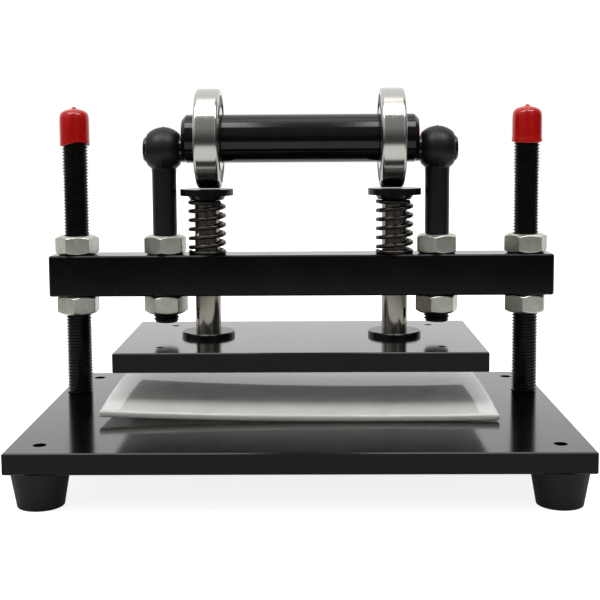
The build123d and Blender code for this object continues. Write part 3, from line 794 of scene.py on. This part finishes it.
# %% [markdown]
# A compression spring is one wire wound on a mandrel: half a turn lies flat on the crossbar, five
# and a half turns climb, and the rest lies flat under the post cap. A curve follows this rule
# point by point, and a round profile runs along it. The wire ends are cut square.

# %% Wind the spring tree
spring_tree, sizes = start_tree("compression_spring", {
    "Place": "Vector", "Low": "Float", "High": "Float", "Path Radius": "Float",
    "Wire Radius": "Float", "Turns": "Float", "Closed Turns": "Float", "Rising Turns": "Float",
    "Steps": "Int", "Finish": "Material"})
tree = spring_tree

point_count = add_node(tree, "ShaderNodeMath", {
    0: sizes["Turns"], 1: sizes["Steps"], 2: 1.0}, operation="MULTIPLY_ADD")
straight_wire = add_node(tree, "GeometryNodeCurvePrimitiveLine")
wire_points = add_node(tree, "GeometryNodeResampleCurve", {
    "Curve": straight_wire.outputs["Curve"], "Count": point_count.outputs[0]})

point = add_node(tree, "GeometryNodeInputIndex").outputs["Index"]
turn_at = add_node(tree, "ShaderNodeMath", {
    0: point, 1: sizes["Steps"]}, operation="DIVIDE").outputs[0]
rise_end = add_node(tree, "ShaderNodeMath", {
    0: sizes["Closed Turns"], 1: sizes["Rising Turns"]}, operation="ADD")
wire_height = add_node(tree, "ShaderNodeMapRange", {
    "Value": turn_at, "From Min": sizes["Closed Turns"], "From Max": rise_end.outputs[0],
    "To Min": sizes["Low"], "To Max": sizes["High"]})

wire_angle = add_node(tree, "ShaderNodeMath", {
    0: turn_at, 1: 2 * pi, 2: pi}, operation="MULTIPLY_ADD")
wire_x = add_node(tree, "ShaderNodeMath", {0: wire_angle.outputs[0]}, operation="COSINE")
wire_y = add_node(tree, "ShaderNodeMath", {0: wire_angle.outputs[0]}, operation="SINE")
wire_unit = add_node(tree, "ShaderNodeCombineXYZ", {"X": wire_x.outputs[0], "Y": wire_y.outputs[0]})
wire_ring = add_node(tree, "ShaderNodeVectorMath", {
    0: wire_unit.outputs[0], "Scale": sizes["Path Radius"]}, operation="SCALE")
wire_lift = add_node(tree, "ShaderNodeCombineXYZ", {"Z": wire_height.outputs["Result"]})
wire_raised = add_node(tree, "ShaderNodeVectorMath", {
    0: wire_ring.outputs[0], 1: wire_lift.outputs[0]})
wire_placed = add_node(tree, "ShaderNodeVectorMath", {0: wire_raised.outputs[0], 1: sizes["Place"]})
coiled = add_node(tree, "GeometryNodeSetPosition", {
    "Geometry": wire_points.outputs["Curve"], "Position": wire_placed.outputs[0]})
round_wire = add_node(tree, "GeometryNodeCurvePrimitiveCircle", {
    "Resolution": 16, "Radius": sizes["Wire Radius"]})
skinned = add_node(tree, "GeometryNodeCurveToMesh", {
    "Curve": coiled.outputs["Geometry"], "Profile Curve": round_wire.outputs["Curve"], "Fill Caps": True})
end_tree(tree, skinned.outputs["Mesh"], sizes["Finish"])
print("spring tree has", len(tree.nodes), "nodes")

# %% [markdown]
# The posts push the springs together by as much as the press plate travels. Here each spring is wound once at
# its resting length, between the heights of the frame's spring, and rides on the crossbar, where its lower end
# stays.

# %% Coil the springs
wire_radius = 1.3 * mm
spring_sizes = {
    "Wire Radius": wire_radius, "Turns": 6.4, "Closed Turns": 0.5, "Rising Turns": 5.5,
    "Steps": 48, "Finish": wire_steel}
for side in both_sides:
    node = f"spring_{side}"
    middle, low, high = box_of(node)
    spring = grow(f"coil_spring_{side}", spring_tree, {
        **spring_sizes, "Place": (middle.x, middle.y, 0), "Low": low.z + wire_radius,
        "High": high.z - wire_radius, "Path Radius": (high.x - low.x) / 2 - wire_radius})
    spring.data.shade_smooth()
    spring.data.set_sharp_from_angle(angle=radians(60))
    stand_for(spring, node, "crossbar")
    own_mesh(spring)

# %% [markdown]
# Round pieces that are not true rings share one helper: a profile of radius and height is turned
# about an upright line, and a small function may bend each point on its way round.

# %% Write the helper for turned skins
def turn_skin(name, profile, place, steps, bend):
    """Turn a profile about an upright line; bend gives each point's radius and height anew."""
    shape = bmesh.new()
    rings = []
    for step in range(steps):
        angle = 2 * pi * step / steps
        bent = [bend(angle, radius, height) for radius, height in profile]
        rings.append(ring_side(shape, place, angle, bent))
    join_rings(shape, rings, closed=False)
    return new_piece(name, shape)


# %% [markdown]
# The red caps are made by dipping a hot pin into liquid vinyl and pulling it out: the skin is
# thick and round at the closed end, a last drop leaves a nub, and the open rim keeps a slow wave
# or a small rolled lip from the pull. Each cap has its own rim, so the two are not the same.

# %% Dip the vinyl caps
# Millimetres: radius, then drop from the top of the nub.
cap_outside, cap_inside = 9.15, 8.05
dome = [(0, 0), (0.7, 0.05), (1.1, 0.3), (1.4, 0.75), (1.9, 1.1), (3.0, 1.38), (4.2, 1.68),
        (5.2, 1.98), (6.1, 2.34), (6.9, 2.76), (7.6, 3.28), (8.15, 3.9), (8.55, 4.6), (8.85, 5.5),
        (9.02, 6.6), (9.12, 8.2)]
hollow = [(0, 2.76), (6.6, 2.76), (8.0, 4.2), (8.05, 5.2)]
rim_levels = [0.25, 0.6, 1.0, 1.5, 2.2, 3.0, 4.0, 5.2, 6.6, 8.2]
rim_fade = 8 * mm
roll_level, roll_spread, roll_fullness = 1.3 * mm, 1.8 * mm, 0.7


def dip_cap(name, middle, low, high, wave, lip):
    """Make a cap whose rim rises by wave(angle) and rolls outwards by the lip, both in metres."""
    lip_middle = (cap_outside + cap_inside) / 2
    inside = [(radius * mm, high - drop * mm) for radius, drop in hollow]
    inside += [(cap_inside * mm, low + level * mm) for level in reversed(rim_levels)]
    rim = [((lip_middle - 0.25) * mm, low), ((lip_middle + 0.2) * mm, low + 0.05 * mm)]
    outside = [(cap_outside * mm, low + level * mm) for level in rim_levels]
    outside += [(radius * mm, high - drop * mm) for radius, drop in reversed(dome)]

    def bend(angle, radius, height):
        above = height - low
        near_rim = max(0, 1 - above / rim_fade) ** 2
        rolled = max(0, 1 - abs(above - roll_level) / roll_spread) if radius > lip_middle * mm else 0
        return radius + rolled ** roll_fullness * lip, height + near_rim * wave(angle)

    cap = turn_skin(name, inside + rim + outside, middle, 96, bend)
    cap.data.materials.append(vinyl)
    return cap


def slow_wave(angle):
    """Two slow waves round the left rim, highest at the right of its front."""
    return 1.2 * mm * cos(2 * (angle - radians(300)))


def front_dip(angle):
    """The right rim hangs a little lower in front than behind."""
    return 0.8 * mm * sin(angle)


rims = {"left": (slow_wave, 0.05 * mm), "right": (front_dip, 0.25 * mm)}
for side in both_sides:
    node = f"vinyl_cap_{side}"
    middle, low, high = box_of(node)
    wave, lip = rims[side]
    cap = dip_cap(f"dipped_cap_{side}", middle, low.z, high.z, wave, lip)
    stand_for(cap, node, "frame")

# %% [markdown]
# The cutting pad is a sheet of soft plastic that was once rolled up, so it arches a little between
# its long edges and one end lifts. A fine flat sheet gets its thickness and rounded edges from two
# modifiers, and is then bent like the frame's sheet: first the arch, then the curl of its length.

# %% Lay the cutting pad
pad_left, pad_right, pad_front, pad_back = -114.55 * mm, 112.95 * mm, -38.0 * mm, 98 * mm
pad_thickness, pad_rise, pad_crest = 3.9 * mm, 2.8 * mm, 40 * mm
curl_middle, curl_radius = 47 * mm, 4030 * mm
base_top = box_of("base_plate")[2].z

sheet_shape = bmesh.new()
bmesh.ops.create_grid(sheet_shape, x_segments=76, y_segments=45, size=0.5)
for point in sheet_shape.verts:
    point.co.x = pad_left + (point.co.x + 0.5) * (pad_right - pad_left)
    point.co.y = pad_front + (point.co.y + 0.5) * (pad_back - pad_front)
flat_mesh = bpy.data.meshes.new("flat_pad")
sheet_shape.to_mesh(flat_mesh)
sheet_shape.free()
pad = bpy.data.objects.new("curled_cutting_pad", flat_mesh)
scene.collection.objects.link(pad)
body = pad.modifiers.new("body", "SOLIDIFY")
body.thickness, body.offset = pad_thickness, 1
edge = pad.modifiers.new("edge", "BEVEL")
edge.width, edge.segments, edge.limit_method, edge.angle_limit = 1.2 * mm, 4, "ANGLE", radians(60)
pad_mesh = baked_mesh(pad)
pad.modifiers.clear()
for point in pad_mesh.vertices:
    away = point.co.y - pad_crest
    run = pad_crest - pad_front if away < 0 else pad_back - pad_crest
    arch_radius = (run ** 2 + pad_rise ** 2) / (2 * pad_rise)
    above = point.co.z + pad_rise - arch_radius + (arch_radius ** 2 - away ** 2) ** 0.5
    swing = (point.co.x - curl_middle) / curl_radius
    point.co.x = curl_middle + (curl_radius - above) * sin(swing)
    point.co.z = base_top + curl_radius - (curl_radius - above) * cos(swing)
pad.data = pad_mesh
pad.data.shade_smooth()
pad.data.materials.clear()
pad.data.materials.append(milky)
stand_for(pad, "cutting_pad", "frame")

# %% [markdown]
# A dust shield is a washer of thin sheet, pressed to a shallow step and rolled into a groove of
# the outer ring. Seen at a low angle the step and the rolled edge catch the light, so each shield
# is turned from its stamped profile, first upright and then laid on the shaft's line.

# %% Stamp the bearing shields
# Millimetres: the place along the radius, then the depth below the ring's face.
sheet = 0.4
bore_clearance = 0.4 * mm
front_from_bore = [(0, 1.3), (0.25, 1.3), (0.5, 0.75), (1.2, 0.35), (3.4, 0.32), (3.9, 0.12)]
rolled_from_edge = [(1.5, 0.1), (1.0, 0.4), (0.55, 0.42), (0.15, 0.1), (0, 0.25), (0, 0.8),
                    (1.1, 0.4 + sheet), (1.6, 0.1 + sheet)]
back_from_bore = [(3.9, 0.12 + sheet), (3.4, 0.32 + sheet), (1.3, 0.35 + sheet), (0, 1.3)]


def truly_round(angle, radius, height):
    """A shield is the same all the way round, so no point is bent."""
    return radius, height


for side in both_sides:
    node = f"bearing_shields_{side}"
    middle, low, high = box_of(node)
    outer = (high.z - low.z) / 2
    inner = box_of(f"bearing_inner_ring_{side}")[2].z - middle.z + bore_clearance
    face = (high.x - low.x) / 2
    stamped = [(inner + out * mm, face - depth * mm) for out, depth in front_from_bore]
    stamped += [(outer - back * mm, face - depth * mm) for back, depth in rolled_from_edge]
    stamped += [(inner + out * mm, face - depth * mm) for out, depth in back_from_bore]
    upright_shield = turn_skin(f"stamped_shields_{side}", stamped, Vector((0, 0, 0)), 120, truly_round)
    pair = bmesh.new()
    pair.from_mesh(upright_shield.data)
    bmesh.ops.duplicate(pair, geom=pair.verts[:] + pair.edges[:] + pair.faces[:])
    half_count = len(pair.verts) // 2
    pair.verts.ensure_lookup_table()
    for number, point in enumerate(pair.verts):
        across_shaft = point.co.z if number < half_count else -point.co.z
        point.co = Vector((middle.x + across_shaft, middle.y + point.co.x, middle.z + point.co.y))
    bmesh.ops.recalc_face_normals(pair, faces=pair.faces)
    pair.to_mesh(upright_shield.data)
    pair.free()
    upright_shield.data.set_sharp_from_angle(angle=radians(35))
    upright_shield.data.materials.append(shield_steel)
    stand_for(upright_shield, node, f"roller_{side}")
